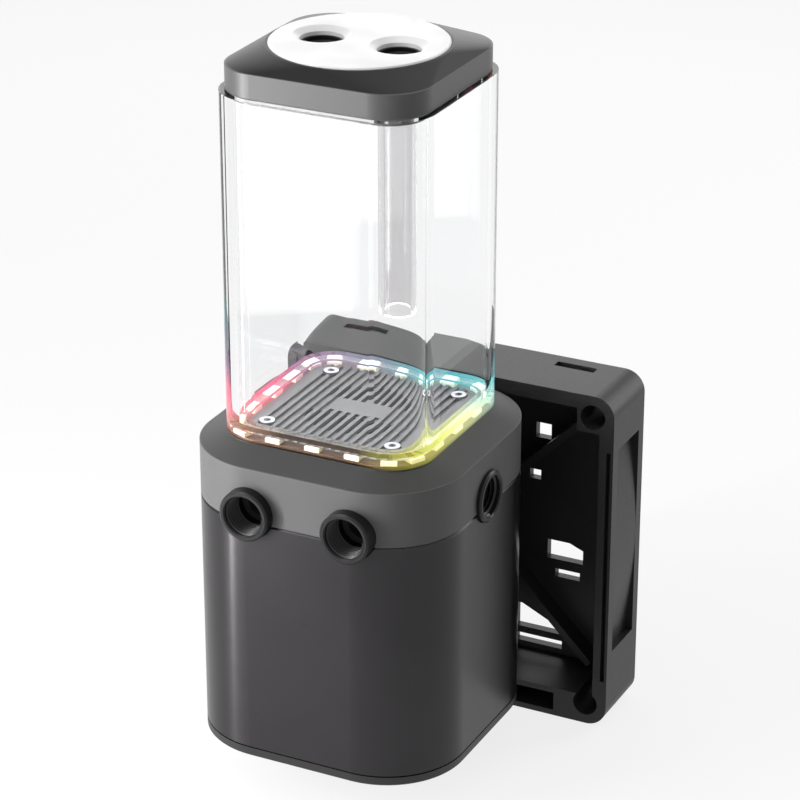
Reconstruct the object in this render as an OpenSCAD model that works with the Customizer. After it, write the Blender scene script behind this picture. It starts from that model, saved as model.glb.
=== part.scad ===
// Coolant pump with a clear reservoir, carried on a 120 mm fan-size mounting bracket.
// Origin: centre of the pump body, at the underside of the base plate. Front faces -Y.

/* [Pump body] */
// Side of the rounded-square pump body
body_w = 89; // [86:0.5:94]
// Corner radius of the pump body, seen from above
body_r = 26.5; // [22:0.5:28]
// Thickness of the base plate
base_t = 3; // [2.5:0.5:4]
// Height of the seam between the cover and the pump top
seam_z = 83.3; // [82:0.1:84]
// Height of the pump top's upright band
band_h = 18.2; // [17.5:0.1:20]
// Height of the sloped shoulder above that band
shoulder_h = 4; // [2:0.5:5]
// Wall of the pump cover
cover_wall = 2.5; // [2:0.1:3]

/* [Side ports] */
// Height of the side ports' axes
port_z = 86.75; // [86:0.25:88]
// X of the left front port
left_port_x = -16.5; // [-20:0.5:-14]
// X of the right front port
right_port_x = 18.3; // [16:0.1:20]
// Y of the port on the right side
side_port_y = -1; // [-4:0.5:4]
// Threaded bore of every port, at the thread's crests
port_bore_d = 11.8; // [11.5:0.1:12.2]
// Outer diameter of the port collars
collar_d = 17; // [16.5:0.5:18]
// How far the front collars stand out of the body
front_collar_out = 3.8; // [2:0.1:5]
// How far the side collar stands out of the body
side_collar_out = 1.6; // [1:0.1:5]
// How deep a collar is set into the pump top
collar_in = 8; // [7:0.5:9]

/* [Reservoir] */
// Side of the rounded-square tube
tube_w = 70; // [68:0.5:72]
// Outer corner radius of the tube
tube_r = 14.5; // [13.5:0.5:16]
// Wall of the tube
tube_wall = 4; // [3:0.5:4.5]
// Length of the tube
tube_len = 106.5; // [80:0.5:150]
// Height of the light guide under the tube
guide_h = 4; // [4:0.5:6]
// Wall of the light guide
guide_wall = 1.2; // [1:0.1:1.3]
// Outer diameter of the drop tube
drop_d = 14; // [13:0.5:15]
// Bore of the drop tube
drop_bore_d = 10; // [8:0.5:11]
// Length of the drop tube
drop_len = 70; // [30:1:75]

/* [Top cap] */
// Side of the cap
cap_w = 67; // [66:0.5:68]
// Corner radius of the cap
cap_r = 14; // [13:0.5:15]
// Height of the cap's upright side
cap_side_h = 8; // [6:0.5:10]
// Rise of the bevelled top from the side to the disc
cap_rise = 3.4; // [2.5:0.1:4]
// Depth of the lip inside the tube
lip_h = 2; // [1:0.5:4]
// Depth of the port bosses under the cap
boss_h = 7; // [6:0.5:9]
// Diameter of the port disc
disc_d = 55; // [52:0.5:57]
// Thickness of the port disc
disc_t = 2.6; // [2:0.1:3]
// Distance between the two top ports
top_port_gap = 26; // [25:0.5:28]
// Y of the two top ports
top_port_y = 0.5; // [-1:0.5:2]

/* [Deck and lights] */
// Thickness of the deck plate
deck_t = 1.5; // [1:0.1:2]
// Distance between the deck's ribs
rib_pitch = 3; // [2.5:0.25:4]
// Height of the deck's ribs
rib_h = 0.7; // [0.4:0.1:1]
// Lights on each straight side
leds_per_side = 3; // [1:1:4]

/* [Pump inside] */
// Diameter of the impeller
impeller_d = 42; // [36:1:44]
// Number of impeller blades
blades = 7; // [5:1:9]
// Diameter of the ceramic shaft
shaft_d = 4; // [3:0.5:5]
// Radial running clearance of the rotor's bushes
run_fit = 0.05; // [0.02:0.01:0.09]
// Outer diameter of the rotor magnet
magnet_d = 23; // [20:0.5:23.5]
// Outer diameter of the motor housing
motor_d = 60; // [58:0.5:61]
// Height of the stator core
core_h = 16; // [14:0.5:17]

/* [Mounting bracket] */
// Side of the square bracket
bracket_w = 120; // [118:0.5:122]
// Depth of the bracket, front to back
bracket_d = 25.5; // [22:0.5:30]
// Distance of the mounting holes, the pattern of a 120 mm fan
hole_pitch = 105; // [104.5:0.1:105.5]
// Diameter of the mounting holes
hole_d = 4.3; // [4.1:0.1:4.6]
// How far the bracket's centre lies to the right of the body's
bracket_x = 6; // [-4:0.5:8]
// How far the bracket reaches below the base plate
bracket_below = 16.5; // [12:0.5:20]
// Clear distance between the body and the bracket's front
bracket_gap = 4; // [3:0.5:6]
// Back plate of the bracket
bracket_t = 3; // [2.5:0.5:4]
// Side and top walls of the bracket
bracket_wall = 5; // [4.5:0.1:5.2]
// Height of the bracket's ribbed bottom beam
beam_h = 10.5; // [9:0.5:12]

/* [Hidden] */

// Clearances and small allowances
slip = 0.3;        // between pieces that slide together
snug = 0.1;        // between pieces that are pressed or clamped
cut = 1;           // overrun of a cutter past a face
edge = 0.5;        // chamfer that breaks an outer edge
fine = 96;
medium = 48;

// Heights, from the base plate up
band_top = seam_z + band_h;
seat_z = band_top + shoulder_h;
tube_z = seat_z + guide_h;
cap_z = tube_z + tube_len;
cap_side_top = cap_z + cap_side_h;
disc_seat_z = cap_side_top + cap_rise - disc_t + 0.6;
cap_boss_z = cap_z - boss_h;
cap_boss_d = drop_d + 6;

// Body
body_half = body_w / 2;
cover_in_w = body_w - 2 * cover_wall;
cover_in_r = body_r - cover_wall;
spigot_w = cover_in_w - 2 * slip;
top_block_z = seam_z - 21.3;
tie_at = body_half - 12.1;
tie_d = 3;
tie_sleeve_d = 7;
tie_head_d = 6;
tie_reach = 19;

// Pump chamber, from its ceiling down to the motor
flange_t = 3;
flange_r = 34;
flange_top = top_block_z + 2;
chamber_h = 13.4;
volute_r0 = impeller_d / 2 + 3;
volute_grow = 4.8;
ring_top = flange_top + chamber_h;
eye_r = 9.6;
seal_r = 32;
seal_cs = 1.1;
can_r = magnet_d / 2 + 2.5;
can_wall = 1;
motor_h = 31;
motor_z = flange_top - flange_t - motor_h;
motor_wall = 1.5;
can_z = motor_z + 2.2;
shaft_foot = can_z + 1.5;
magnet_z = can_z + 7.5;
magnet_h = 20;
washer_t = 0.8;
shroud_z = flange_top + 1;
blade_h = 7.5;
plate_h = 1.5;
bush_r = shaft_d / 2 + 2;
passage_d = 9;
riser_d = 10;
sump_r = 21;
outlet_y = -(body_half - collar_in - 9.5);
clamp_r = 37;
clamp_h = 7;
clamp_at = 35.6;
clamp_angles = [30 : 60 : 330];

// Controller
board = [56, 46, 1.6];
board_z = 16;
board_hole = [23, 18];
capacitor = [7, 7];      // diameter, height
driver_chip = [12, 12, 1.6];
plug = [8, 7.5, 6];
choke = [6, 11, 6];

// Light guide and lights
led = [5, 4, 1.4];
led_board_t = 0.8;
channel_w = 4.8;
guide_in_w = tube_w - 4 * guide_wall - 2 * channel_w;
guide_in_r = tube_r - 2 * guide_wall - channel_w;
led_inset = guide_wall + 0.3 + led[1] / 2;
led_pitch = (tube_w - 2 * tube_r) / leds_per_side;
wire_at = tube_w / 2 - tube_r + (tube_r - led_inset) * sin(45);
deck_w = guide_in_w - 2 * slip;
deck_screw_at = deck_w / 2 - 6;

// Top cap and its ports
cap_seal_t = 1.2;
cap_seal_w = (cap_w + tube_w) / 2 - tube_wall + cap_seal_t;
cap_seal_r = cap_r - (cap_w - cap_seal_w) / 2;
top_port_x = top_port_gap / 2;
top_bore_len = 12;
disc_hole_d = 13.6;
disc_sink_d = 18;

// Bracket
bracket_z = -bracket_below;
bracket_y = body_half + bracket_gap;
bracket_back = bracket_y + bracket_d;
bracket_cz = bracket_z + bracket_w / 2;
bracket_r = 7;
flange_w = 4;
pad_t = 5;
post = 13;
bridge_w = 32;
bridge_h = 40;
bridge_z = 17;
bridge_cz = bridge_z + bridge_h / 2;
bush_h = 3;
bridge_screw = [9.2, 11.5];
bridge_back = bracket_back - pad_t - bush_h;
grommet_z = 9.8;

// ---------- shapes that repeat ----------

// Rounded square, centred; its corners are true arcs
module rounded_square(w, r) {
    square([w - 2 * r, w], center = true);
    square([w, w - 2 * r], center = true);
    for (x = [-1, 1], y = [-1, 1])
        translate([x * (w / 2 - r), y * (w / 2 - r)])
            circle(r, $fn = fine);
}

module block(w, r, z0, z1) {
    translate([0, 0, z0])
        linear_extrude(z1 - z0)
            rounded_square(w, r);
}

// Rounded-square frame: outer size and radius, inner size and radius
module frame(w, r, in_w, in_r, z0, z1) {
    difference() {
        block(w, r, z0, z1);
        block(in_w, in_r, z0 - cut, z1 + cut);
    }
}

// Rounded square whose sides slope in by c over the height h
module sloped_block(w, r, c, z0, h) {
    at = w / 2 - r;
    for (a = [0, 90])
        rotate([0, 0, a])
            translate([0, at, z0])
                rotate([90, 0, 0])
                    linear_extrude(2 * at)
                        polygon([[-w / 2, 0], [w / 2, 0], [w / 2 - c, h], [-w / 2 + c, h]]);
    for (x = [-1, 1], y = [-1, 1])
        translate([x * at, y * at, z0])
            cylinder(h, r, r - c, $fn = fine);
}

// The quarter of a rounded-square piece on one side; turn 0 is the front
module one_side(turn) {
    intersection() {
        children();
        rotate([0, 0, turn])
            linear_extrude(seat_z + cut)
                polygon([[0, 0], [-body_w, -body_w], [body_w, -body_w]]);
    }
}

module rod(d, z0, z1) {
    translate([0, 0, z0])
        cylinder(z1 - z0, d = d, $fn = medium);
}

module ring(d, in_d, z0, z1) {
    difference() {
        rod(d, z0, z1);
        rod(in_d, z0 - cut, z1 + cut);
    }
}

module at_corners(d) {
    for (x = [-1, 1], y = [-1, 1])
        translate([x * d, y * d, 0])
            children();
}

// Turns +Z into -Y, so a port drawn upright faces the front
module to_front() {
    rotate([90, 0, 0])
        children();
}

// Turns +Z into +X, so a port drawn upright faces the right
module to_right() {
    rotate([0, 90, 0])
        children();
}

module at_left_port() {
    translate([left_port_x, 0, port_z])
        to_front()
            children();
}

module at_right_port() {
    translate([right_port_x, 0, port_z])
        to_front()
            children();
}

module at_side_port() {
    translate([0, side_port_y, port_z])
        to_right()
            children();
}

// Countersunk screw with its head's face at z = 0 and its shank upwards
module flat_screw(d, head_d, length) {
    head_h = (head_d - d) / 2;
    difference() {
        union() {
            cylinder(head_h, d1 = head_d, d2 = d, $fn = medium);
            cylinder(length, d = d, $fn = medium);
        }
        translate([0, 0, -cut])
            cylinder(cut + 1, d = d * 0.75, $fn = 6);
    }
}

// Cheese-head screw with the underside of its head at z = 0 and its shank downwards
module cap_screw(d, head_d, head_h, length) {
    difference() {
        union() {
            cylinder(head_h, d = head_d, $fn = medium);
            translate([0, 0, -length])
                cylinder(length, d = d, $fn = medium);
        }
        translate([0, 0, head_h * 0.4])
            cylinder(head_h, d = head_d * 0.5, $fn = 6);
    }
}

// ---------- base and cover ----------

module base_plate() {
    color("#151515")
        difference() {
            union() {
                sloped_block(body_w - 2 * edge, body_r - edge, -edge, 0, edge);
                block(body_w, body_r, edge, base_t);
            }
            at_corners(tie_at) {
                translate([0, 0, -cut])
                    cylinder(base_t + 2 * cut, d = tie_d + 0.4, $fn = medium);
                translate([0, 0, -0.01])
                    cylinder((tie_head_d + 0.4 - tie_d) / 2, d1 = tie_head_d + 0.4, d2 = tie_d, $fn = medium);
            }
            for (x = [-1, 1], y = [-1, 1])
                translate([x * board_hole[0], y * board_hole[1], -cut])
                    cylinder(base_t + 2 * cut, d = 2.6, $fn = medium);
        }
}

module tie_screws() {
    color("#3a3a3c")
        at_corners(tie_at)
            translate([0, 0, 0.1])
                flat_screw(tie_d, tie_head_d, top_block_z + tie_reach);
}

// Sleeves that the tie screws clamp between the base plate and the volute ring
module tie_sleeves() {
    color("#8a8c90")
        at_corners(tie_at)
            ring(tie_sleeve_d, tie_d + 0.4, base_t, top_block_z);
}

// The whole cover; it is handed on as its four sides, which meet in the corners' middles
module cover_shell() {
    wall_y = body_half - cover_wall;
    difference() {
        union() {
            difference() {
                union() {
                    sloped_block(body_w - 2 * edge, body_r - edge, -edge, base_t, edge);
                    block(body_w, body_r, base_t + edge, seam_z - edge);
                    sloped_block(body_w, body_r, edge, seam_z - edge, edge);
                }
                block(cover_in_w, cover_in_r, base_t - cut, seam_z + cut);
            }
            // bosses behind the back wall for the bridge's screws
            for (x = [-1, 1], z = [-1, 1])
                translate([x * bridge_screw[0], wall_y + 0.5, bridge_cz + z * bridge_screw[1]])
                    rotate([90, 0, 0])
                        cylinder(5.5, d = 8, $fn = medium);
        }
        // half-round notches round the port collars
        at_left_port()
            rod(collar_d + slip, body_half - collar_in, body_half + cut);
        at_right_port()
            rod(collar_d + slip, body_half - collar_in, body_half + cut);
        at_side_port()
            rod(collar_d + slip, body_half - collar_in, body_half + cut);
        for (x = [-1, 1], z = [-1, 1])
            translate([x * bridge_screw[0], body_half + cut, bridge_cz + z * bridge_screw[1]])
                rotate([90, 0, 0])
                    cylinder(12, d = 4.1, $fn = medium);
        translate([0, body_half + cut, grommet_z])
            rotate([90, 0, 0])
                cylinder(cover_wall + 2 * cut, d = 10, $fn = medium);
    }
}

module cover_side(turn) {
    color("#4b4a4c")
        one_side(turn)
            cover_shell();
}

module cover_front() {
    cover_side(0);
}

module cover_right() {
    cover_side(90);
}

module cover_back() {
    cover_side(180);
}

module cover_left() {
    cover_side(270);
}

module cable_grommet() {
    color("#101010")
        translate([0, body_half + 1.5, grommet_z])
            rotate([90, 0, 0])
                difference() {
                    union() {
                        cylinder(1.5, d = 13, $fn = medium);
                        cylinder(cover_wall + 3, d = 9.9, $fn = medium);
                        translate([0, 0, cover_wall + 1.5])
                            cylinder(1.5, d = 12, $fn = medium);
                    }
                    translate([0, 0, -cut])
                        cylinder(cover_wall + 3 + 2 * cut, d = 6.5, $fn = medium);
                }
}

// ---------- pump top ----------

// Outline of the volute: its radius grows with the angle up to the cut-water
module volute_outline() {
    steps = 60;
    polygon([for (i = [0 : steps])
        let (a = -35 - 360 + 360 * i / steps, r = volute_r0 + volute_grow * i / steps)
            [r * cos(a), r * sin(a)]]);
}

// Throat from the widest part of the volute to the riser
module outlet_throat() {
    reach = norm([right_port_x, outlet_y]);
    heading = atan2(outlet_y, right_port_x);
    rotate([0, 0, heading])
        translate([volute_r0 - 2, -riser_d / 2 + 0.6, flange_top + 4])
            cube([reach - volute_r0 + 2, riser_d - 1.2, chamber_h - 4 + cut]);
}

// Riser from the throat up to the right port's passage
module outlet_riser() {
    translate([right_port_x, outlet_y, 0])
        rod(riser_d, flange_top + 3, port_z + 2);
}

// Hole for the lights' wires, in the back left corner
module wire_hole() {
    translate([-wire_at, wire_at, 0])
        rod(3, top_block_z - cut, seat_z + cut);
}

// Port seats, and their passages into the sump and down to the riser
module port_seats() {
    at_left_port() {
        rod(collar_d, body_half - collar_in, body_half + cut);
        rod(passage_d, 8, body_half);
    }
    at_right_port() {
        rod(collar_d, body_half - collar_in, body_half + cut);
        rod(passage_d, -outlet_y - 1, body_half - collar_in + cut);
    }
    at_side_port() {
        rod(collar_d, body_half - collar_in, body_half + cut);
        rod(passage_d, 15, body_half);
    }
}

// Ring round the impeller, bonded under the pump top's floor
module volute_ring() {
    color("#2a2a2c")
        difference() {
            block(spigot_w, cover_in_r - slip, top_block_z, ring_top);
            translate([0, 0, flange_top - cut])
                linear_extrude(chamber_h + 2 * cut)
                    volute_outline();
            rod(2 * flange_r + 2 * snug, top_block_z - cut, flange_top);
            ring(2 * (seal_r + seal_cs), 2 * (seal_r - seal_cs), flange_top - cut, flange_top + 1.7);
            outlet_throat();
            outlet_riser();
            wire_hole();
            at_corners(tie_at)
                rod(tie_d + 0.4, top_block_z - cut, ring_top + cut);
            for (a = clamp_angles)
                rotate([0, 0, a])
                    translate([clamp_at, 0, 0])
                        rod(2.6, top_block_z - cut, top_block_z + 7.5);
        }
}

// Floor of the sump, with the inlet eye over the impeller
module body_floor() {
    color("#6b6a6c")
        difference() {
            block(spigot_w, cover_in_r - slip, ring_top, seam_z);
            rod(2 * eye_r, ring_top - cut, seam_z + cut);
            port_seats();
            outlet_riser();
            wire_hole();
            at_corners(tie_at)
                rod(tie_d + snug, ring_top - cut, top_block_z + tie_reach + 1);
        }
}

// The pump top above its floor; it is handed on as its four sides, one part with the floor
module body_shell() {
    difference() {
        union() {
            sloped_block(body_w - 2 * edge, body_r - edge, -edge, seam_z, edge);
            block(body_w, body_r, seam_z + edge, band_top);
            sloped_block(body_w, body_r, (body_w - tube_w) / 2, band_top, shoulder_h);
            block(tube_w, tube_r, band_top, seat_z);
        }
        // sump under the deck
        rod(2 * sump_r, seam_z - cut, seat_z + cut);
        port_seats();
        outlet_riser();
        wire_hole();
        at_corners(deck_screw_at)
            rod(2.6, seat_z - 8, seat_z + cut);
        // groove of the guide seal
        frame(guide_in_w + 2 * guide_wall, guide_in_r + guide_wall, guide_in_w, guide_in_r,
              seat_z - 0.8, seat_z + cut);
    }
}

module body_side(turn) {
    color("#6b6a6c")
        one_side(turn)
            body_shell();
}

module body_front() {
    body_side(0);
}

module body_right() {
    body_side(90);
}

module body_back() {
    body_side(180);
}

module body_left() {
    body_side(270);
}

// Threaded port insert: a collar with a chamfered mouth, drawn along +Z
module port_insert(out) {
    difference() {
        union() {
            rod(collar_d - 2 * snug, body_half - collar_in, body_half + out - 0.6);
            translate([0, 0, body_half + out - 0.6])
                cylinder(0.6, d1 = collar_d - 2 * snug, d2 = collar_d - 1.4, $fn = medium);
        }
        rod(port_bore_d, body_half - collar_in - cut, body_half + out + cut);
        translate([0, 0, body_half + out - 0.8])
            cylinder(0.81, d1 = port_bore_d, d2 = port_bore_d + 1.6, $fn = medium);
    }
}

module left_port() {
    color("#1c1c1d")
        at_left_port()
            port_insert(front_collar_out);
}

module right_port() {
    color("#1c1c1d")
        at_right_port()
            port_insert(front_collar_out);
}

module side_port() {
    color("#1c1c1d")
        at_side_port()
            port_insert(side_collar_out);
}

// ---------- pump and motor ----------

module pump_seal() {
    color("#0e0e0e")
        translate([0, 0, flange_top + 0.85])
            rotate_extrude($fn = fine)
                translate([seal_r, 0])
                    circle(0.85, $fn = 24);
}

module separator_can() {
    color("#c9cbce")
        difference() {
            union() {
                rod(2 * flange_r, flange_top - flange_t, flange_top);
                rod(2 * (can_r + can_wall - 1), can_z, flange_top - flange_t + 0.1);
            }
            rod(2 * (can_r - 1), can_z + 1.2, flange_top + cut);
            rod(shaft_d + 8, can_z + 1, can_z + 1.3);
        }
    color("#c9cbce")
        difference() {
            rod(shaft_d + 6, can_z + 1, magnet_z - washer_t - 0.2);
            rod(shaft_d, shaft_foot, magnet_z + cut);
        }
}

module bearing_shaft() {
    color("#f0efe9")
        rod(shaft_d, shaft_foot, shroud_z + blade_h + 3.5);
}

module thrust_washer() {
    color("#d8d2c0")
        ring(shaft_d + 5, shaft_d + 0.2, magnet_z - washer_t - 0.2, magnet_z - 0.2);
}

// Backward-curved blade: a slice of a thin ring between the hub and the rim
module blade_outline() {
    bend_r = impeller_d * 0.38;
    intersection() {
        difference() {
            translate([bend_r * 0.55, bend_r])
                difference() {
                    circle(bend_r, $fn = fine);
                    circle(bend_r - 1.4, $fn = fine);
                }
            circle(bush_r + 1, $fn = medium);
        }
        difference() {
            circle(impeller_d / 2 - 0.3, $fn = fine);
            translate([-impeller_d, impeller_d * 0.3])
                square([2 * impeller_d, impeller_d]);
            translate([-impeller_d, -impeller_d])
                square([impeller_d + bush_r, 3 * impeller_d]);
        }
    }
}

module impeller() {
    blade_z = shroud_z + plate_h;
    color("#2f6f9f")
        difference() {
            union() {
                rod(2 * bush_r + 3, magnet_z, shroud_z + blade_h + 1);
                rod(impeller_d, shroud_z, blade_z + 0.01);
                for (i = [0 : blades - 1])
                    rotate([0, 0, i * 360 / blades])
                        translate([0, 0, blade_z])
                            linear_extrude(blade_h)
                                blade_outline();
                translate([0, 0, blade_z + blade_h]) {
                    ring(impeller_d, 2 * (eye_r - 1.6), -0.01, plate_h);
                    ring(2 * (eye_r - 0.4), 2 * (eye_r - 1.6), 0, plate_h + 2.4);
                }
            }
            rod(2 * bush_r, magnet_z - cut, shroud_z + blade_h + 1 + cut);
        }
}

module rotor_bushes() {
    bush_len = 8;
    color("#303030")
        for (z = [magnet_z, shroud_z + blade_h + 1 - bush_len])
            ring(2 * bush_r, shaft_d + 2 * run_fit, z, z + bush_len);
}

module rotor_magnet() {
    color("#55585c")
        ring(magnet_d, 2 * bush_r + 3, magnet_z, magnet_z + magnet_h);
}

// Tooth of the stator, from the yoke in to the can, with a wider shoe
module tooth(w, z0, z1) {
    inner = can_r + can_wall - 1 + 0.4;
    difference() {
        union() {
            translate([inner, -w / 2, z0])
                cube([motor_d / 2 - motor_wall - 2 - inner, w, z1 - z0]);
            translate([inner, -w, z0])
                cube([2, 2 * w, z1 - z0]);
        }
        rod(2 * inner, z0 - cut, z1 + cut);
    }
}

module stator_core() {
    z0 = magnet_z + 1;
    z1 = z0 + core_h;
    color("#8d9094")
        union() {
            ring(motor_d - 2 * motor_wall - snug, motor_d - 2 * motor_wall - 7, z0, z1);
            for (a = [0 : 60 : 300])
                rotate([0, 0, a])
                    tooth(4.5, z0, z1);
        }
}

module stator_coils() {
    z0 = magnet_z + 1;
    z1 = z0 + core_h;
    r0 = can_r + can_wall + 2.2;
    r1 = motor_d / 2 - motor_wall - 4.2;
    color("#b5673a")
        for (a = [0 : 60 : 300])
            rotate([0, 0, a])
                difference() {
                    translate([r0, -5, z0 - 2.5])
                        cube([r1 - r0, 10, z1 - z0 + 5]);
                    translate([r0 - cut, -2.35, z0 - 0.1])
                        cube([r1 - r0 + 2 * cut, 4.7, z1 - z0 + 0.2]);
                }
}

module motor_housing() {
    top = flange_top - flange_t;
    color("#26272a")
        difference() {
            union() {
                rod(motor_d, motor_z, top);
                rod(2 * (flange_r - 0.4), top - 2.5, top);
            }
            rod(motor_d - 2 * motor_wall, motor_z + 2, top + cut);
            // wire outlet in the floor
            translate([motor_d / 2 - 8, 0, 0])
                rod(6, motor_z - cut, motor_z + 2 + cut);
        }
}

module clamp_ring() {
    top = top_block_z;
    color("#1a1a1b")
        difference() {
            rod(2 * clamp_r, top - clamp_h, top);
            rod(motor_d + slip, top - clamp_h - cut, top + cut);
            rod(2 * flange_r + slip, flange_top - flange_t - 2.6, top + cut);
            for (a = clamp_angles)
                rotate([0, 0, a])
                    translate([clamp_at, 0, 0])
                        rod(2.4, top - clamp_h - cut, top + cut);
            // room for the tie screws' sleeves where the body is small
            at_corners(tie_at)
                rod(tie_sleeve_d + 2 * slip, top - clamp_h - cut, top + cut);
        }
}

module clamp_screws() {
    color("#9a9ca0")
        for (a = clamp_angles)
            rotate([0, 0, a])
                translate([clamp_at, 0, top_block_z - clamp_h])
                    mirror([0, 0, 1])
                        cap_screw(2.2, 4, 2, clamp_h + 6);
}

module controller_board() {
    color("#1f4a34")
        difference() {
            translate([-board[0] / 2, -board[1] / 2, board_z])
                cube(board);
            for (x = [-1, 1], y = [-1, 1])
                translate([x * board_hole[0], y * board_hole[1], 0])
                    rod(2.6, board_z - cut, board_z + board[2] + cut);
        }
}

// Capacitors, driver chip, choke and plug headers on the controller
module board_parts() {
    top = board_z + board[2];
    color("#2a2a2a") {
        for (x = [-8, 2])
            translate([x, board[1] / 2 - capacitor[0] - 4, 0])
                rod(capacitor[0], top, top + capacitor[1]);
        translate([-8, 2 - driver_chip[1], top])
            cube(driver_chip);
        for (y = [-plug[1] - 1.5, 2])
            translate([board[0] / 2 - plug[0] - 1, y, top])
                cube(plug);
        translate([-board[0] / 2 + 6, -choke[1] / 2, top])
            cube(choke);
    }
}

module board_spacers() {
    color("#c4a45a")
        for (x = [-1, 1], y = [-1, 1])
            translate([x * board_hole[0], y * board_hole[1], 0])
                difference() {
                    translate([0, 0, base_t])
                        cylinder(board_z - base_t, d = 5.5, $fn = 6);
                    rod(2.6, base_t - cut, board_z + cut);
                }
}

module board_screws() {
    color("#9a9ca0")
        for (x = [-1, 1], y = [-1, 1])
            translate([x * board_hole[0], y * board_hole[1], board_z + board[2]])
                cap_screw(2.4, 4.5, 1.8, board_z + board[2] - 0.5);
}

// ---------- lights and deck ----------

module guide_seal() {
    color("#e8e8e2")
        frame(guide_in_w + 2 * guide_wall - snug, guide_in_r + guide_wall - snug / 2,
              guide_in_w + snug, guide_in_r + snug / 2, seat_z - 0.8, seat_z);
}

module led_board() {
    w = tube_w - 2 * guide_wall - 0.4;
    in_w = guide_in_w + 2 * guide_wall + 0.4;
    color("#3a2412")
        frame(w, tube_r - guide_wall - 0.2, in_w, guide_in_r + guide_wall + 0.2,
              seat_z, seat_z + led_board_t);
}

module one_led(x, y, a) {
    translate([x, y, seat_z + led_board_t])
        rotate([0, 0, a])
            translate([-led[0] / 2, -led[1] / 2, 0])
                cube(led);
}

// Lights along the sides, and two round each corner
module leds() {
    line = tube_w / 2 - led_inset;
    arc_r = tube_r - led_inset;
    centre = line - arc_r;
    color("#ffe9a0")
        for (a = [0 : 90 : 270])
            rotate([0, 0, a]) {
                for (i = [0 : leds_per_side - 1])
                    one_led((i - (leds_per_side - 1) / 2) * led_pitch, -line, 0);
                for (turn = [-66, -24])
                    one_led(centre + arc_r * cos(turn), -centre + arc_r * sin(turn), turn + 90);
            }
}

module light_guide() {
    top = seat_z + guide_h;
    color("#eef3f5", 0.5)
        difference() {
            frame(tube_w, tube_r, guide_in_w, guide_in_r, seat_z, top);
            frame(tube_w - 2 * guide_wall, tube_r - guide_wall,
                  guide_in_w + 2 * guide_wall, guide_in_r + guide_wall, seat_z - cut, top - guide_wall);
        }
}

// Deck plate: grooves from front to back leave its ribs, and slots in the grooves over the
// sump let the coolant through; the pad in its middle is plain
module deck_plate() {
    deck_r = guide_in_r - (guide_in_w - deck_w) / 2;
    pad = [7 * rib_pitch, 9];
    groove = rib_pitch - 1.4;
    slot = 1.2;
    n = floor((deck_w / 2 - 2) / rib_pitch);
    top = seat_z + deck_t + rib_h;
    color("#a9aaab")
        difference() {
            block(deck_w, deck_r, seat_z, top);
            for (i = [-n : n - 1], side = [-1, 1])
                let (x = (i + 0.5) * rib_pitch,
                     start = abs(x) < pad[0] / 2 - 0.1 ? pad[1] / 2 : -0.1,
                     half = sqrt(max(0, pow(sump_r - 3, 2) - pow(x, 2)))) {
                    translate([x - groove / 2, side > 0 ? start : -deck_w, top - rib_h])
                        cube([groove, deck_w - start, rib_h + cut]);
                    if (half > pad[1] / 2 + 3)
                        translate([x - slot / 2, side > 0 ? pad[1] / 2 + 1.5 : -half, seat_z - cut])
                            cube([slot, half - pad[1] / 2 - 1.5, deck_t + 2 * cut]);
                }
            at_corners(deck_screw_at) {
                rod(3, seat_z - cut, top + cut);
                rod(5.6, top - rib_h - 0.3, top + cut);
            }
        }
}

module deck_screws() {
    color("#c8c9cb")
        at_corners(deck_screw_at)
            translate([0, 0, seat_z + deck_t - 0.3])
                cap_screw(2.4, 5, 1.5, deck_t + 6);
}

// ---------- reservoir and cap ----------

module reservoir_tube() {
    color("#f4f8fa", 0.3)
        frame(tube_w, tube_r, tube_w - 2 * tube_wall, tube_r - tube_wall, tube_z, cap_z);
}

// Square ring in a groove under the cap, pressed on the tube's end
module cap_seal() {
    color("#141414")
        frame(cap_seal_w, cap_seal_r, cap_seal_w - 2 * cap_seal_t, cap_seal_r - cap_seal_t,
              cap_z, cap_z + cap_seal_t);
}

module top_cap() {
    in_w = tube_w - 2 * tube_wall;
    in_r = tube_r - tube_wall;
    rim_r = disc_d / 2 + 0.9;
    top = cap_side_top + cap_rise;
    color("#5b5a5c")
        difference() {
            union() {
                block(in_w - 2 * slip, in_r - slip, cap_z - lip_h, cap_z);
                for (x = [-1, 1])
                    translate([x * top_port_x, top_port_y, 0])
                        rod(cap_boss_d, cap_boss_z, cap_z);
                sloped_block(cap_w - 2 * edge, cap_r - edge, -edge, cap_z, edge);
                block(cap_w, cap_r, cap_z + edge, cap_side_top);
                // bevelled top, from the rounded square up to the round rim of the disc
                hull() {
                    translate([0, 0, cap_side_top - 0.1])
                        linear_extrude(0.1)
                            rounded_square(cap_w - 0.02, cap_r, $fn = 32);
                    translate([0, 0, top - 0.1])
                        cylinder(0.1, r = rim_r, $fn = 64);
                }
            }
            // groove of the seal
            frame(cap_seal_w + 2 * snug, cap_seal_r + snug, cap_seal_w - 2 * cap_seal_t - 2 * snug,
                  cap_seal_r - cap_seal_t - snug, cap_z - 0.01, cap_z + cap_seal_t);
            translate([0, 0, disc_seat_z])
                cylinder(disc_t + cut, d = disc_d + 2 * snug, $fn = fine);
            for (x = [-1, 1])
                translate([x * top_port_x, top_port_y, 0])
                    rod(port_bore_d, disc_seat_z - top_bore_len, disc_seat_z + cut);
            translate([-top_port_x, top_port_y, 0])
                rod(passage_d, cap_boss_z - cut, cap_z);
            translate([top_port_x, top_port_y, 0])
                rod(drop_d + 2 * snug, cap_boss_z - cut, disc_seat_z - top_bore_len);
        }
}

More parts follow.
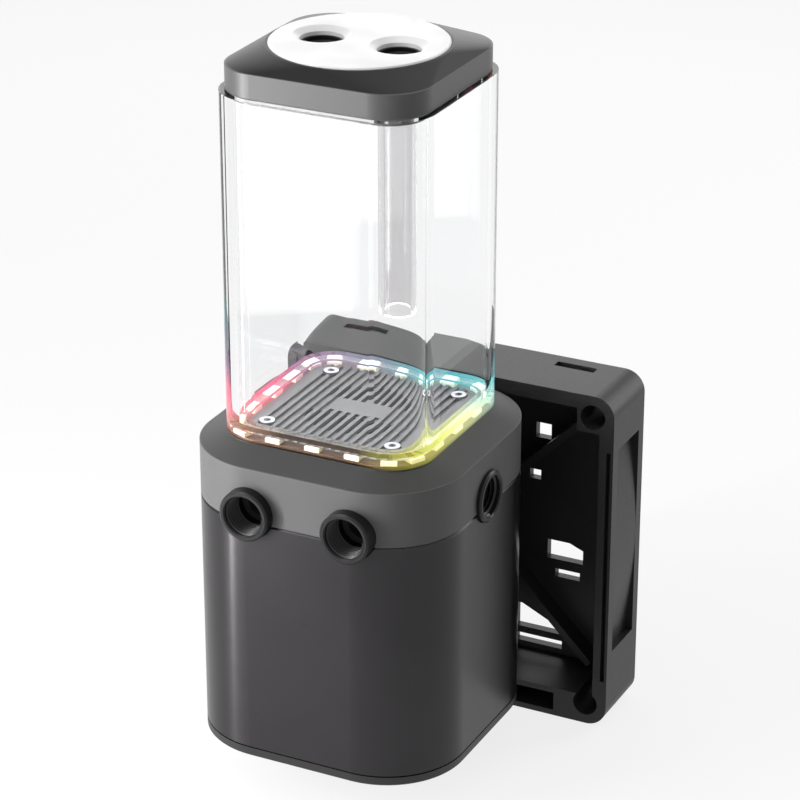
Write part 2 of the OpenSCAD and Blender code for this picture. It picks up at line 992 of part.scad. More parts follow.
module port_disc() {
    top = disc_seat_z + disc_t;
    color("#f2f2f2")
        difference() {
            union() {
                rod(disc_d, disc_seat_z, top - 0.4);
                translate([0, 0, top - 0.4])
                    cylinder(0.4, d1 = disc_d, d2 = disc_d - 0.8, $fn = medium);
            }
            for (x = [-1, 1])
                translate([x * top_port_x, top_port_y, 0]) {
                    rod(disc_hole_d, disc_seat_z - cut, top + cut);
                    translate([0, 0, top - 1.4])
                        cylinder(1.41, d1 = disc_hole_d, d2 = disc_sink_d, $fn = medium);
                }
        }
}

module drop_tube() {
    top = disc_seat_z - top_bore_len;
    color("#f4f8fa", 0.3)
        translate([top_port_x, top_port_y, 0])
            ring(drop_d, drop_bore_d, top - drop_len, top);
}

// ---------- mounting bracket ----------

// Spacer between the cover's back and the bracket, open at its top and bottom
module mount_bridge() {
    front = body_half;
    color("#1b1b1c")
        difference() {
            translate([-bridge_w / 2, front, bridge_z])
                cube([bridge_w, bridge_back - front, bridge_h]);
            translate([-bridge_w / 2 + 3, front + 4, bridge_z - cut])
                cube([bridge_w - 6, bridge_back - front - 7.5, bridge_h + 2 * cut]);
            for (x = [-1, 1], z = [-1, 1])
                translate([x * bridge_screw[0], bridge_back + cut, bridge_cz + z * bridge_screw[1]])
                    rotate([90, 0, 0])
                        cylinder(bridge_back - front + 2 * cut, d = 4.2, $fn = medium);
        }
}

module bridge_screws() {
    color("#8a8c90")
        for (x = [-1, 1], z = [-1, 1])
            translate([x * bridge_screw[0], body_half + 4, bridge_cz + z * bridge_screw[1]])
                rotate([-90, 0, 0])
                    cap_screw(4, 7, 3, 11);
}

module damping_bushes() {
    color("#0d0d0d")
        for (x = [-1, 1], z = [-1, 1])
            translate([x * bridge_screw[0], bridge_back, bridge_cz + z * bridge_screw[1]])
                rotate([-90, 0, 0])
                    difference() {
                        cylinder(bush_h, d = 11, $fn = medium);
                        translate([0, 0, -cut])
                            cylinder(bush_h + 2 * cut, d = 4.2, $fn = medium);
                    }
}

module bracket_screws() {
    color("#8a8c90")
        for (x = [-1, 1], z = [-1, 1])
            translate([x * bridge_screw[0], bracket_back - 2.6, bridge_cz + z * bridge_screw[1]])
                rotate([-90, 0, 0])
                    cap_screw(4, 7.5, 2.4, bush_h + pad_t - 2.6 + 3.5);
}

// Upright plate with rounded corners, centred on the bracket
module bracket_slab(w, r, y0, y1) {
    translate([bracket_x, y1, bracket_cz])
        rotate([90, 0, 0])
            linear_extrude(y1 - y0)
                rounded_square(w, r);
}

// Box given from the bracket's centre: x and z ranges, and a depth range
module bracket_box(x0, x1, z0, z1, y0, y1) {
    translate([bracket_x + x0, y0, bracket_cz + z0])
        cube([x1 - x0, y1 - y0, z1 - z0]);
}

// Shallow recess in a side wall, with a floor that bulges out to the wall's face
module side_recess(side) {
    half = bracket_w / 2;
    reach = 37;
    bulge_r = 230;
    difference() {
        bracket_box(side > 0 ? half - 2.6 : -half - cut, side > 0 ? half + cut : -half + 2.6,
                    -reach + 4, reach + 4, bracket_y + flange_w, bracket_back - flange_w);
        translate([bracket_x + side * (half - bulge_r), bracket_back, bracket_cz + 4])
            rotate([90, 0, 0])
                cylinder(bracket_d, r = bulge_r, $fn = 180);
    }
}

// Diagonal rib from the middle pad out to a corner post
module diagonal_rib(sx, sz) {
    reach = norm([bracket_w / 2 - post, bracket_w / 2 - post]);
    translate([bracket_x, bracket_back - bracket_t - 7, bracket_cz])
        rotate([0, sx * sz > 0 ? -45 : 45, 0])
            translate([sx > 0 ? 0 : -reach, 0, -1.25])
                cube([reach, 7.1, 2.5]);
}

// Windows of the back plate on one side, as polygons from the bracket's centre
module lattice_windows(side) {
    share = (bracket_w / 2 - bracket_wall) / 55;
    translate([bracket_x, bracket_back + cut, bracket_cz])
        rotate([90, 0, 0])
            linear_extrude(bracket_t + 2 * cut)
                for (outline = [
                    [[28, -13.5], [41, -13.5], [41, -8.5], [36, -6.5], [28, -6.5]],
                    [[31, -20], [40, -20], [40, -17], [31, -17]],
                    [[23, 30.5], [28.5, 30.5], [28.5, 36], [23, 36]],
                    [[21, 15], [25, 15], [25, 18.5], [21, 18.5]],
                    [[17, -42], [34, -42], [34, -40], [19, -33], [17, -33]],
                    [[17, -47.5], [34, -47.5], [34, -44.5], [17, -44.5]]
                ])
                    polygon([for (p = outline) share * [side * p[0], p[1]]]);
}

module fan_bracket() {
    half = bracket_w / 2;
    inner = half - bracket_wall;
    plate = bracket_back - bracket_t;
    floor_z = -half + beam_h;
    color("#202021")
        difference() {
            union() {
                difference() {
                    bracket_slab(bracket_w, bracket_r, bracket_y, bracket_back);
                    // tray, open to the front
                    bracket_box(-inner, inner, floor_z, inner, bracket_y - cut, plate);
                }
                for (sx = [-1, 1])
                    bracket_box(sx > 0 ? half - post : -inner - 0.1, sx > 0 ? inner + 0.1 : -half + post,
                                half - post, inner + 0.1, bracket_y, plate + 0.1);
                difference() {
                    for (sx = [-1, 1], sz = [-1, 1])
                        diagonal_rib(sx, sz);
                    // room for the bridge and its bushes
                    translate([-bridge_w / 2 - 2, plate - 10, bridge_z - 1.5])
                        cube([bridge_w + 4, 10 - pad_t + bracket_t, bridge_h + 3]);
                }
                // pad that carries the bridge
                translate([-bridge_w / 2 - 3, bracket_back - pad_t, bridge_z - 2])
                    cube([bridge_w + 6, pad_t, bridge_h + 4]);
            }
            // mounting holes, with pockets that let the screw heads in from the front
            for (sx = [-1, 1], sz = [-1, 1])
                translate([bracket_x + sx * hole_pitch / 2, bracket_back + cut,
                           bracket_cz + sz * hole_pitch / 2])
                    rotate([90, 0, 0]) {
                        cylinder(bracket_d + 2 * cut, d = hole_d, $fn = medium);
                        translate([0, 0, cut + 5])
                            cylinder(bracket_d, d = 8.6, $fn = medium);
                    }
            // cored front of the bottom beam, between its uprights
            for (sx = [-1, 1], i = [0, 1])
                let (x0 = 4 + i * 20)
                    bracket_box(sx > 0 ? x0 : -x0 - 17, sx > 0 ? x0 + 17 : -x0, -half + 2, floor_z - 2,
                                bracket_y - cut, plate - 6);
            // narrow slot in the front of each side wall
            for (sx = [-1, 1])
                bracket_box(sx > 0 ? inner + 2.6 : -half + 0.9, sx > 0 ? half - 0.9 : -inner - 2.6,
                            -half + 17, half - 19, bracket_y - cut, bracket_y + flange_w - 1.2);
            for (sx = [-1, 1]) {
                side_recess(sx);
                lattice_windows(sx);
                // cable-tie slot near the back of the top wall
                bracket_box(sx * 38 - 7, sx * 38 + 7, inner - cut, half + cut,
                            bracket_back - 8, bracket_back - 4.5);
            }
            // recesses for the heads of the bridge's screws
            for (x = [-1, 1], z = [-1, 1])
                translate([x * bridge_screw[0], bracket_back + cut, bridge_cz + z * bridge_screw[1]])
                    rotate([90, 0, 0]) {
                        cylinder(2.6 + cut, d = 8, $fn = medium);
                        cylinder(pad_t + 2 * cut, d = 4.2, $fn = medium);
                    }
            translate([-3, bracket_back - pad_t - cut, bridge_z + 5])
                cube([6, pad_t + 2 * cut, bridge_h - 10]);
        }
}

base_plate();
tie_screws();
tie_sleeves();
cover_front();
cover_right();
cover_back();
cover_left();
cable_grommet();
volute_ring();
body_floor();
body_front();
body_right();
body_back();
body_left();
left_port();
right_port();
side_port();
pump_seal();
separator_can();
bearing_shaft();
thrust_washer();
impeller();
rotor_bushes();
rotor_magnet();
stator_core();
stator_coils();
motor_housing();
clamp_ring();
clamp_screws();
controller_board();
board_parts();
board_spacers();
board_screws();
guide_seal();
led_board();
leds();
light_guide();
deck_plate();
deck_screws();
reservoir_tube();
cap_seal();
top_cap();
port_disc();
drop_tube();
mount_bridge();
bridge_screws();
damping_bushes();
bracket_screws();
fan_bracket();
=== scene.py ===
"""Coolant pump with a clear, lit reservoir, carried on a square mounting bracket."""
import math

import bmesh
import bpy
from mathutils import Matrix, Vector


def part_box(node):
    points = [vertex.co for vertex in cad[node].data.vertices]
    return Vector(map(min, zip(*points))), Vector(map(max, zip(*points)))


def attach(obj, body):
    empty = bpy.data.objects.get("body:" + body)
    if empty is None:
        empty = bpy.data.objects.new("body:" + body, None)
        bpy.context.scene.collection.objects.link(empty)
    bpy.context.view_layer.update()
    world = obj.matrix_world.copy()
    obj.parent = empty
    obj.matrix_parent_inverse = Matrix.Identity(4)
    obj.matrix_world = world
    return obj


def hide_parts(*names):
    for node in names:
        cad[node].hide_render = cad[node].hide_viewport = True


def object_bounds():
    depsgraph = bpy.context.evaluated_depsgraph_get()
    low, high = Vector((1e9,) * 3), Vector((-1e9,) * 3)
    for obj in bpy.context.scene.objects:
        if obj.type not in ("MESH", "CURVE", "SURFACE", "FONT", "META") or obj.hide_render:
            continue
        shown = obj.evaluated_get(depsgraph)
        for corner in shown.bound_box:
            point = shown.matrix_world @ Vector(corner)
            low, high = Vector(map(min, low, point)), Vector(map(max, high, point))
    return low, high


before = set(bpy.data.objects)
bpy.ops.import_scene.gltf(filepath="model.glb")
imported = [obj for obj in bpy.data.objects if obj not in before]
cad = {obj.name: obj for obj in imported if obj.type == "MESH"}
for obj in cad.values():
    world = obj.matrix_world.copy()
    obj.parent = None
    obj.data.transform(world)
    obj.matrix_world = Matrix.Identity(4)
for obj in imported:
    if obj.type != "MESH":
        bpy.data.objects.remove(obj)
cad_low, cad_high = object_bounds()
MM = 0.001
PUMP = "pump"


# ---------- selecting and shaping ----------

def deselect_all():
    bpy.ops.object.select_all(action="DESELECT")
    bpy.context.view_layer.objects.active = None


def make_active(piece):
    deselect_all()
    piece.select_set(True)
    bpy.context.view_layer.objects.active = piece


def select_faces(piece, wanted):
    """In edit mode, selects the faces for which wanted(centre, normal) is true."""
    mesh = bmesh.from_edit_mesh(piece.data)
    for part in (mesh.verts, mesh.edges, mesh.faces):
        for element in part:
            element.select = False
    for face in mesh.faces:
        if wanted(face.calc_center_median(), face.normal):
            face.select_set(True)
    bmesh.update_edit_mesh(piece.data)


def select_edges(piece, wanted):
    """In edit mode, selects the edges for which wanted(one end, other end) is true."""
    bpy.ops.mesh.select_mode(type="EDGE")
    mesh = bmesh.from_edit_mesh(piece.data)
    for part in (mesh.verts, mesh.edges, mesh.faces):
        for element in part:
            element.select = False
    for edge in mesh.edges:
        if wanted(edge.verts[0].co, edge.verts[1].co):
            edge.select_set(True)
    bmesh.update_edit_mesh(piece.data)


def settle(piece, name, material, turn=None):
    """Names a finished piece, puts its place into its mesh and lets it ride on the pump."""
    piece.data.transform(piece.matrix_basis if turn is None else turn @ piece.matrix_basis)
    piece.matrix_basis = Matrix.Identity(4)
    piece.name = name
    piece.data.materials.clear()
    piece.data.materials.append(material)
    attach(piece, PUMP)
    return piece


def apply_modifiers(piece):
    make_active(piece)
    for modifier in list(piece.modifiers):
        bpy.ops.object.modifier_apply(modifier=modifier.name)


# ---------- finishes ----------

def new_finish(name, colour, rough, metal=0.0):
    finish = bpy.data.materials.new(name)
    finish.use_nodes = True
    shader = finish.node_tree.nodes["Principled BSDF"]
    shader.inputs["Base Color"].default_value = (*colour, 1)
    shader.inputs["Roughness"].default_value = rough
    shader.inputs["Metallic"].default_value = metal
    return finish, finish.node_tree, shader


def add_node(tree, kind, **values):
    node = tree.nodes.new(kind)
    for key, value in values.items():
        if hasattr(node, key):
            setattr(node, key, value)
        else:
            node.inputs[key].default_value = value
    return node


def object_place(tree, stretch=(1, 1, 1)):
    place = add_node(tree, "ShaderNodeTexCoord")
    mapping = add_node(tree, "ShaderNodeMapping")
    mapping.inputs["Scale"].default_value = stretch
    tree.links.new(place.outputs["Object"], mapping.inputs["Vector"])
    return mapping.outputs["Vector"]


def grain(tree, shader, vector, scale, depth, rough_range, strength=0.5):
    """Fine grain: the same noise moves the roughness and the bump."""
    noise = add_node(tree, "ShaderNodeTexNoise")
    noise.inputs["Scale"].default_value = scale
    noise.inputs["Detail"].default_value = 3
    tree.links.new(vector, noise.inputs["Vector"])
    ranged = add_node(tree, "ShaderNodeMapRange")
    ranged.inputs["To Min"].default_value = rough_range[0]
    ranged.inputs["To Max"].default_value = rough_range[1]
    tree.links.new(noise.outputs["Fac"], ranged.inputs["Value"])
    tree.links.new(ranged.outputs["Result"], shader.inputs["Roughness"])
    bump = add_node(tree, "ShaderNodeBump")
    bump.inputs["Strength"].default_value = strength
    bump.inputs["Distance"].default_value = depth
    tree.links.new(noise.outputs["Fac"], bump.inputs["Height"])
    tree.links.new(bump.outputs["Normal"], shader.inputs["Normal"])
    return noise


def vary_colour(tree, shader, vector, scale, low, high):
    """Slow drift between two tones."""
    noise = add_node(tree, "ShaderNodeTexNoise")
    noise.inputs["Scale"].default_value = scale
    noise.inputs["Detail"].default_value = 2
    tree.links.new(vector, noise.inputs["Vector"])
    ramp = add_node(tree, "ShaderNodeValToRGB")
    ramp.color_ramp.elements[0].position = 0.35
    ramp.color_ramp.elements[0].color = (*low, 1)
    ramp.color_ramp.elements[1].position = 0.65
    ramp.color_ramp.elements[1].color = (*high, 1)
    tree.links.new(noise.outputs["Fac"], ramp.inputs["Fac"])
    tree.links.new(ramp.outputs["Color"], shader.inputs["Base Color"])
    return ramp


def moulded(name, colour, rough=0.5, scale=1800, depth=0.00006, level=0.5):
    """Moulded plastic with a fine spark-eroded grain."""
    finish, tree, shader = new_finish(name, colour, rough)
    shader.inputs["Specular IOR Level"].default_value = level
    place = object_place(tree)
    grain(tree, shader, place, scale, depth, (rough - 0.07, rough + 0.07))
    vary_colour(tree, shader, place, 40, [c * 0.9 for c in colour], [c * 1.1 for c in colour])
    return finish


def satin_metal(name, colour, rough=0.38, metal=0.6, stretch=(1, 1, 1), level=0.5):
    """Anodised metal with a fine blasted or brushed surface."""
    finish, tree, shader = new_finish(name, colour, rough, metal)
    shader.inputs["Specular IOR Level"].default_value = level
    place = object_place(tree, stretch)
    grain(tree, shader, place, 2600, 0.00002, (rough - 0.05, rough + 0.05), 0.35)
    vary_colour(tree, shader, object_place(tree), 25, [c * 0.95 for c in colour], [c * 1.05 for c in colour])
    return finish


def brushed_round(name, colour, rough, metal, level):
    """Anodised metal brushed round its sides, so that its reflections stretch up and down."""
    finish = satin_metal(name, colour, rough, metal, (0.05, 0.05, 1), level)
    shader = finish.node_tree.nodes["Principled BSDF"]
    shader.inputs["Anisotropic"].default_value = 0.85
    shader.inputs["Anisotropic Rotation"].default_value = 0.25
    return finish


def soft_rubber(name, colour):
    finish, tree, shader = new_finish(name, colour, 0.7)
    grain(tree, shader, object_place(tree), 900, 0.00008, (0.6, 0.8))
    shader.inputs["Sheen Weight"].default_value = 0.1
    return finish


def clear_plastic(name, tint, index, rough=0.02):
    """Clear cast acrylic; faint ripples of its polished skin."""
    finish, tree, shader = new_finish(name, tint, rough)
    shader.inputs["Transmission Weight"].default_value = 1
    shader.inputs["IOR"].default_value = index
    noise = add_node(tree, "ShaderNodeTexNoise")
    noise.inputs["Scale"].default_value = 30
    tree.links.new(object_place(tree), noise.inputs["Vector"])
    bump = add_node(tree, "ShaderNodeBump")
    bump.inputs["Strength"].default_value = 0.02
    bump.inputs["Distance"].default_value = 0.0002
    tree.links.new(noise.outputs["Fac"], bump.inputs["Height"])
    tree.links.new(bump.outputs["Normal"], shader.inputs["Normal"])
    return finish


# colours of the light round the ring, by the share of a turn from the left side,
# and how strongly the guide over the lights glows there
RING = [
    (0.00, (0.75, 0.12, 0.22), 1.00),
    (0.09, (0.80, 0.20, 0.24), 1.00),
    (0.14, (0.90, 0.50, 0.30), 0.30),
    (0.20, (0.60, 0.26, 0.06), 0.05),
    (0.32, (0.60, 0.32, 0.03), 0.05),
    (0.38, (0.55, 0.52, 0.06), 0.60),
    (0.44, (0.61, 0.64, 0.15), 1.00),
    (0.53, (0.72, 0.78, 0.36), 1.00),
    (0.60, (0.50, 0.78, 0.66), 0.80),
    (0.66, (0.12, 0.50, 0.54), 0.90),
    (0.74, (0.20, 0.46, 0.52), 0.60),
    (0.80, (0.34, 0.42, 0.54), 0.50),
    (0.92, (0.38, 0.17, 0.30), 0.80),
    (1.00, (0.75, 0.12, 0.22), 1.00),
]


def ring_ramp(tree, colours):
    """Colours set round the pump's axis."""
    turn = add_node(tree, "ShaderNodeTexGradient", gradient_type="RADIAL")
    tree.links.new(object_place(tree), turn.inputs["Vector"])
    ramp = add_node(tree, "ShaderNodeValToRGB")
    stops = ramp.color_ramp.elements
    while len(stops) < len(colours):
        stops.new(0.5)
    for stop, (at, _) in zip(stops, colours):
        stop.position = at
    for stop, (_, colour) in zip(stops, colours):
        stop.color = (*colour, 1)
    tree.links.new(turn.outputs["Fac"], ramp.inputs["Fac"])
    return ramp.outputs["Color"]


def lit_lens(name, strength, whiteness):
    """Glowing silicone lens, whiter than the light it throws."""
    finish, tree, shader = new_finish(name, (0.8, 0.7, 0.5), 0.35)
    pale = [(at, [c + (1 - c) * whiteness for c in colour]) for at, colour, _ in RING]
    colour = ring_ramp(tree, pale)
    tree.links.new(colour, shader.inputs["Emission Color"])
    tree.links.new(colour, shader.inputs["Base Color"])
    shader.inputs["Emission Strength"].default_value = strength
    return finish


def lit_guide(name, strength):
    """Frosted clear plastic that carries the lights' colours round the ring."""
    finish, tree, shader = new_finish(name, (0.93, 0.94, 0.95), 0.1)
    shader.inputs["Transmission Weight"].default_value = 1
    shader.inputs["IOR"].default_value = 1.2
    glow = [(at, [c * share for c in colour]) for at, colour, share in RING]
    colour = ring_ramp(tree, glow)
    tree.links.new(colour, shader.inputs["Emission Color"])
    shader.inputs["Emission Strength"].default_value = strength
    grain(tree, shader, object_place(tree), 700, 0.00005, (0.06, 0.14), 0.2)
    return finish


def tone_switch_at_height(name, low, high, height, rough, metal, level):
    """Satin finish whose base colour switches at that height, one tone below and another above; on the pump
    body the darker tone above is painted shade on the sloping shoulder.
    """
    finish, tree, shader = new_finish(name, low, rough, metal)
    shader.inputs["Specular IOR Level"].default_value = level
    place = object_place(tree)
    grain(tree, shader, place, 2000, 0.00003, (rough - 0.05, rough + 0.05), 0.4)
    parts = add_node(tree, "ShaderNodeSeparateXYZ")
    tree.links.new(place, parts.inputs[0])
    over = add_node(tree, "ShaderNodeMapRange")
    over.inputs["From Min"].default_value = height
    over.inputs["From Max"].default_value = height + 0.0001
    tree.links.new(parts.outputs["Z"], over.inputs["Value"])
    ramp = add_node(tree, "ShaderNodeValToRGB")
    ramp.color_ramp.elements[0].color = (*low, 1)
    ramp.color_ramp.elements[1].color = (*high, 1)
    tree.links.new(over.outputs["Result"], ramp.inputs["Fac"])
    tree.links.new(ramp.outputs["Color"], shader.inputs["Base Color"])
    return finish


COVER = brushed_round("satin_cover", (0.038, 0.036, 0.038), 0.3, 0.8, 0.2)
# painted shade: the pump top's sloping shoulder above 101.6 mm is painted darker than the wall band below it
BODY = tone_switch_at_height("machined_body", (0.085, 0.084, 0.085), (0.05, 0.05, 0.05), 0.1016, 0.5, 0.0, 0.2)
BASE = moulded("base_black", (0.006, 0.006, 0.006), 0.45)
# the cap is darker above 224.1 mm, on its top bevel, than on its side wall
CAP = tone_switch_at_height("satin_cap", (0.09, 0.089, 0.09), (0.012, 0.012, 0.012), 0.2241, 0.4, 0.2, 0.2)
PORT = satin_metal("port_black", (0.012, 0.012, 0.013), 0.36, 0.1, (1, 1, 1), 0.25)
DISC = moulded("disc_white", (0.92, 0.92, 0.92), 0.35, 800, 0.00002)
CLEAR = clear_plastic("clear_acrylic", (0.965, 0.968, 0.972), 1.22)
CLEAR_ROD = clear_plastic("clear_tube", (0.8, 0.79, 0.795), 1.36)
GUIDE = lit_guide("lit_guide", 0.3)
DECK = satin_metal("brushed_deck", (0.2, 0.2, 0.205), 0.45, 0.5, (1, 0.03, 1), 0.3)
STEEL = satin_metal("screw_steel", (0.5, 0.5, 0.52), 0.3, 1.0)
RUBBER = soft_rubber("black_rubber", (0.012, 0.012, 0.012))
BRACKET = moulded("bracket_black", (0.018, 0.018, 0.0185), 0.42, 1200, 0.00007, 0.25)
LED_BOARD = moulded("board_brown", (0.05, 0.016, 0.002), 0.5)
LED_BODY = moulded("led_body", (0.75, 0.66, 0.45), 0.5)
LENS = lit_lens("lit_lens", 1.2, 0.4)
INNER = moulded("inner_black", (0.02, 0.02, 0.022), 0.5)

node_finishes = {
    "base_plate": BASE, "top_cap": CAP, "port_disc": DISC,
    "body_floor": BODY, "body_front": BODY, "body_right": BODY, "body_back": BODY, "body_left": BODY,
    "cover_front": COVER, "cover_right": COVER, "cover_back": COVER, "cover_left": COVER,
    "left_port": PORT, "right_port": PORT, "side_port": PORT,
    "reservoir_tube": CLEAR, "drop_tube": CLEAR_ROD, "light_guide": GUIDE,
    "deck_plate": DECK, "led_board": LED_BOARD, "leds": LED_BODY,
    "fan_bracket": BRACKET, "mount_bridge": BRACKET,
    "cap_seal": RUBBER, "cable_grommet": RUBBER, "damping_bushes": RUBBER, "pump_seal": RUBBER,
    "deck_screws": STEEL, "clamp_screws": STEEL, "board_screws": STEEL, "bridge_screws": STEEL,
    "bracket_screws": STEEL, "tie_screws": STEEL, "tie_sleeves": STEEL,
}
for name, node in cad.items():
    node.data.materials.clear()
    node.data.materials.append(node_finishes.get(name, INNER))
for name in ("reservoir_tube", "drop_tube", "light_guide"):
    cad[name].visible_shadow = False


# ---------- lights under the guide ----------

LED_SIZE = (5.0, 4.0, 1.4)
LED_FLOOR = 106.3
LED_LINE = 31.5
LED_ARC = 11.0
LED_PITCH = 41 / 3


def led_places():
    """(x, y, turn) of each light: three on each side and two round each corner."""
    places = []
    for quarter in range(4):
        corner = LED_LINE - LED_ARC
        side = [((i - 1) * LED_PITCH, -LED_LINE, 0) for i in range(3)]
        for turn in (-66, -24):
            a = math.radians(turn)
            side.append((corner + LED_ARC * math.cos(a), -corner + LED_ARC * math.sin(a), turn + 90))
        about = Matrix.Rotation(math.radians(90 * quarter), 4, "Z")
        for x, y, turn in side:
            spot = about @ Vector((x, y, 0))
            places.append((spot.x, spot.y, turn + 90 * quarter))
    return places


def shape_led():
    """One light: a low white package with a domed lens let into its top."""
    deselect_all()
    bpy.ops.mesh.primitive_cube_add(size=1)
    package = bpy.context.object
    package.scale = [side * MM for side in LED_SIZE]
    bpy.ops.object.transform_apply(scale=True)
    bpy.ops.object.mode_set(mode="EDIT")
    select_faces(package, lambda centre, normal: normal.z > 0.9)
    bpy.ops.mesh.inset(thickness=0.35 * MM)
    bpy.ops.transform.translate(value=(0, 0, -0.3 * MM))
    bpy.ops.object.mode_set(mode="OBJECT")

    deselect_all()
    bpy.ops.mesh.primitive_cube_add(size=1)
    lens = bpy.context.object
    lens.scale = ((LED_SIZE[0] - 0.6) * MM, (LED_SIZE[1] - 0.6) * MM, 1.5 * MM)
    lens.location.z = 0.45 * MM
    bpy.ops.object.transform_apply(location=True, scale=True)
    bpy.ops.object.mode_set(mode="EDIT")
    select_faces(lens, lambda centre, normal: normal.z > 0.9)
    bpy.ops.mesh.bevel(offset=0.7 * MM, segments=4, profile=0.5)
    bpy.ops.object.mode_set(mode="OBJECT")
    return package, lens


def copies_at(piece, places, height):
    """Copies the piece to each place and joins the copies."""
    copies = []
    for x, y, turn in places:
        twin = piece.copy()
        twin.data = piece.data.copy()
        bpy.context.scene.collection.objects.link(twin)
        twin.data.transform(Matrix.Translation(Vector((x * MM, y * MM, height * MM)))
                            @ Matrix.Rotation(math.radians(turn), 4, "Z"))
        copies.append(twin)
    deselect_all()
    for twin in copies:
        twin.select_set(True)
    bpy.context.view_layer.objects.active = copies[0]
    bpy.ops.object.join()
    joined = bpy.context.object
    bpy.data.objects.remove(piece)
    return joined


def add_leds():
    package, lens = shape_led()
    middle = LED_FLOOR + LED_SIZE[2] / 2
    packages = settle(copies_at(package, led_places(), middle), "led_packages", LED_BODY)
    settle(copies_at(lens, led_places(), middle), "led_lenses", LENS)
    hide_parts("leds")


add_leds()


# ---------- threaded ports ----------

COLLAR_R = 8.4
ROOT_R = 6.56
CREST_R = 5.9
PITCH = 1.337
SWEEP_STEPS = 64


def sweep(outline, turns, pitch):
    """Sweeps a closed outline of (radius, height) round Z: a revolve, or a helix of that pitch."""
    mesh = bpy.data.meshes.new("sweep")
    corners = [(r * MM, 0, z * MM) for r, z in outline]
    mesh.from_pydata(corners, [(i, (i + 1) % len(corners)) for i in range(len(corners))], [])
    piece = bpy.data.objects.new("sweep", mesh)
    bpy.context.scene.collection.objects.link(piece)
    screw = piece.modifiers.new("sweep", "SCREW")
    screw.axis = "Z"
    screw.steps = screw.render_steps = SWEEP_STEPS
    screw.iterations = turns
    screw.screw_offset = pitch * MM
    screw.use_merge_vertices = pitch == 0
    screw.merge_threshold = 1e-6
    apply_modifiers(piece)
    bpy.ops.object.mode_set(mode="EDIT")
    bpy.ops.mesh.select_all(action="SELECT")
    if pitch:
        bpy.ops.mesh.fill_holes(sides=0)
        bpy.ops.mesh.select_all(action="SELECT")
    bpy.ops.mesh.normals_make_consistent(inside=False)
    bpy.ops.object.mode_set(mode="OBJECT")
    return piece


def shape_port(length):
    """A collar with a chamfered rim and a pipe thread in its bore, along +Z from its seat."""
    collar = sweep([(ROOT_R, 0), (ROOT_R, length - 0.5), (ROOT_R + 0.4, length), (COLLAR_R - 0.6, length),
                    (COLLAR_R, length - 0.6), (COLLAR_R, 0)], 1, 0)
    turns = int((length - 1.4) / PITCH) - 1
    start = length - 1.2 - turns * PITCH
    ridge = sweep([(ROOT_R + 0.1, start - 0.45 * PITCH), (CREST_R, start - 0.06 * PITCH),
                   (CREST_R, start + 0.06 * PITCH), (ROOT_R + 0.1, start + 0.45 * PITCH)], turns, PITCH)
    make_active(collar)
    ridge.select_set(True)
    bpy.ops.object.join()
    bpy.ops.object.shade_smooth_by_angle(angle=math.radians(25))
    return collar


def add_port(node, heading):
    """Puts a threaded port where the node is; heading is the axis that it faces along."""
    low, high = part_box(node)
    middle = (low + high) / 2
    if heading == "X":
        length, seat = high.x - low.x, Vector((low.x, middle.y, middle.z))
        turn = Matrix.Rotation(math.radians(90), 4, "Y")
    else:
        length, seat = high.y - low.y, Vector((middle.x, high.y, middle.z))
        turn = Matrix.Rotation(math.radians(90), 4, "X")
    port = settle(shape_port(length / MM), node + "_threaded", PORT, Matrix.Translation(seat) @ turn)
    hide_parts(node)


add_port("left_port", "-Y")
add_port("right_port", "-Y")
add_port("side_port", "X")


# ---------- floor, lights and camera ----------

def seen_share(tree, low, high):
    """High for the camera, reflections and what is seen through glass, low for all other light."""
    path = add_node(tree, "ShaderNodeLightPath")
    seen = path.outputs["Is Camera Ray"]
    for ray in ("Is Glossy Ray", "Is Transmission Ray"):
        most = add_node(tree, "ShaderNodeMath", operation="MAXIMUM")
        tree.links.new(seen, most.inputs[0])
        tree.links.new(path.outputs[ray], most.inputs[1])
        seen = most.outputs[0]
    level = add_node(tree, "ShaderNodeMapRange")
    level.inputs["To Min"].default_value = low
    level.inputs["To Max"].default_value = high
    tree.links.new(seen, level.inputs["Value"])
    return level.outputs["Result"]


def set_the_stage():
    deselect_all()
    bpy.ops.mesh.primitive_plane_add(size=8, location=(0, 0, cad_low.z - 0.0005))
    floor = bpy.context.object
    floor.name = "floor"
    paint, tree, shader = new_finish("pale_floor", (0.9, 0.9, 0.9), 0.9)
    glow = add_node(tree, "ShaderNodeEmission")
    glow.inputs["Strength"].default_value = 1
    mix = add_node(tree, "ShaderNodeMixShader")
    tree.links.new(seen_share(tree, 0, 0.8), mix.inputs["Fac"])
    tree.links.new(shader.outputs[0], mix.inputs[1])
    tree.links.new(glow.outputs[0], mix.inputs[2])
    tree.links.new(mix.outputs[0], tree.nodes["Material Output"].inputs["Surface"])
    floor.data.materials.append(paint)

    world = bpy.data.worlds.new("studio")
    bpy.context.scene.world = world
    world.use_nodes = True
    tree = world.node_tree
    background = tree.nodes["Background"]
    background.inputs["Color"].default_value = (1, 1, 1, 1)
    tree.links.new(seen_share(tree, 0.3, 1), background.inputs["Strength"])


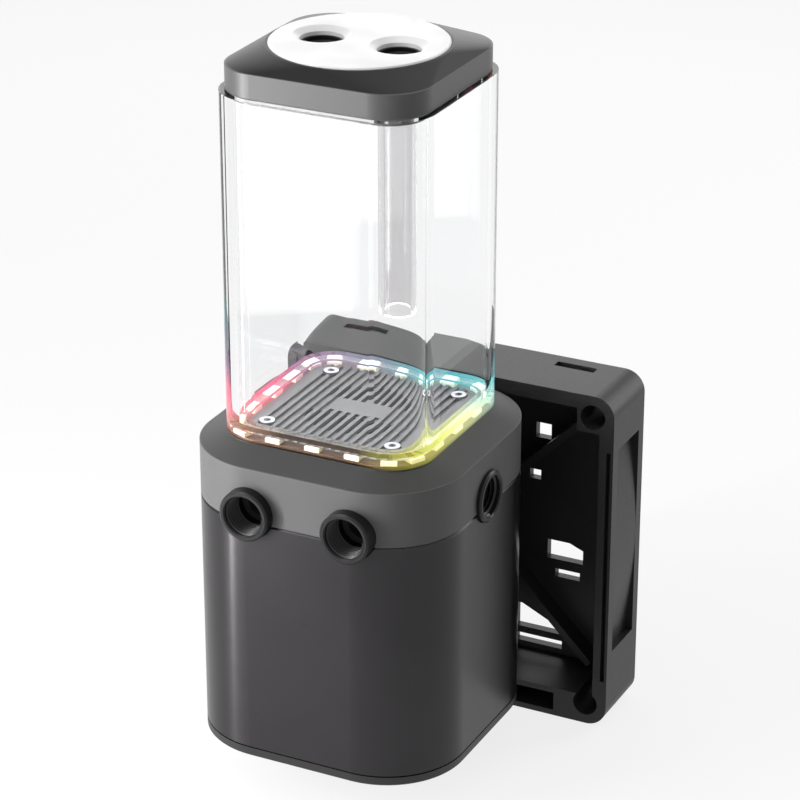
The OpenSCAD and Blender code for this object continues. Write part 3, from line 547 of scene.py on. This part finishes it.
def add_softbox(name, place, aim, size, power, colour=(1, 1, 1)):
    light = bpy.data.lights.new(name, "AREA")
    light.shape = "RECTANGLE"
    light.size, light.size_y = size
    light.energy = power
    light.color = colour
    holder = bpy.data.objects.new(name, light)
    bpy.context.scene.collection.objects.link(holder)
    holder.location = place
    holder.rotation_mode = "QUATERNION"
    holder.rotation_quaternion = (Vector(aim) - Vector(place)).to_track_quat("-Z", "Y")
    return holder


def at_angle(azimuth, distance, height):
    """Place that far out, azimuth degrees to the right of the front."""
    a = math.radians(azimuth)
    return (distance * math.sin(a), -distance * math.cos(a), height)


def set_the_lights():
    middle = (0, 0, 0.08)
    low_middle = (0, 0, 0.04)
    add_softbox("edge_strip", at_angle(-44.7, 0.297, 0.09), low_middle, (0.014, 0.2), 1.1)
    add_softbox("low_box", at_angle(-32.9, 0.405, 0.09), low_middle, (0.14, 0.2), 0.6)
    add_softbox("left_box", at_angle(-42, 0.5, 0.35), middle, (0.25, 0.7), 2.3)
    add_softbox("right_rim", at_angle(148, 0.75, 0.4), middle, (0.3, 0.8), 2.6)
    add_softbox("back_box", at_angle(-150, 0.9, 0.4), middle, (0.9, 0.35), 1.8)
    add_softbox("top", (0.0, -0.1, 1.0), middle, (0.6, 0.6), 1.0)


def set_the_camera():
    azimuth, elevation = math.radians(26.43), math.radians(24.18)
    distance, target_z, side_shift = 0.9722, 0.1101, 0.01206
    back = Vector((math.sin(azimuth) * math.cos(elevation), -math.cos(azimuth) * math.cos(elevation),
                   math.sin(elevation)))
    right = Vector((math.cos(azimuth), math.sin(azimuth), 0))
    camera_data = bpy.data.cameras.new("camera")
    camera_data.lens = 139.3
    camera_data.sensor_width = 36
    camera_data.clip_start = 0.01
    camera = bpy.data.objects.new("camera", camera_data)
    bpy.context.scene.collection.objects.link(camera)
    camera.location = Vector((0, 0, target_z)) + right * side_shift + back * distance
    camera.rotation_mode = "QUATERNION"
    camera.rotation_quaternion = (-back).to_track_quat("-Z", "Y")
    bpy.context.scene.camera = camera
    bpy.context.scene.view_settings.view_transform = "Standard"


set_the_stage()
set_the_lights()
set_the_camera()
